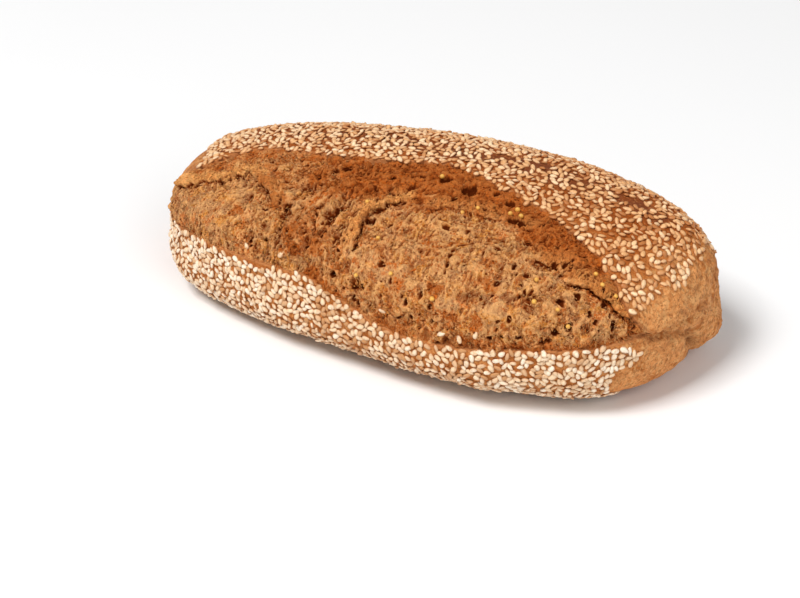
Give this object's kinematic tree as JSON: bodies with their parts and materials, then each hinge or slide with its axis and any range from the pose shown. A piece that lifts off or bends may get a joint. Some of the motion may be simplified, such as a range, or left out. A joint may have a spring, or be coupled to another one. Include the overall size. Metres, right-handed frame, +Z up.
{
  "type": "multigrain bread",
  "caption": "Long multigrain loaf of bread, resting flat, its seeded top crust torn open along the front to show the crumb.",
  "frame": {"origin": "middle of the loaf's box, on the base it rests on", "axes": "+X along the loaf to its plain end, +Z up; the torn, seeded front faces -Y"},
  "size_m": [0.2566, 0.1352, 0.0717],
  "materials": {
    "loaf": "baked wholemeal crust and open crumb, matt, with pale and golden sesame seeds; matte_plastic stands in for bread"
  },
  "bodies": {
    "root": {"loaf": "loaf"}
  },
  "joints": []
}
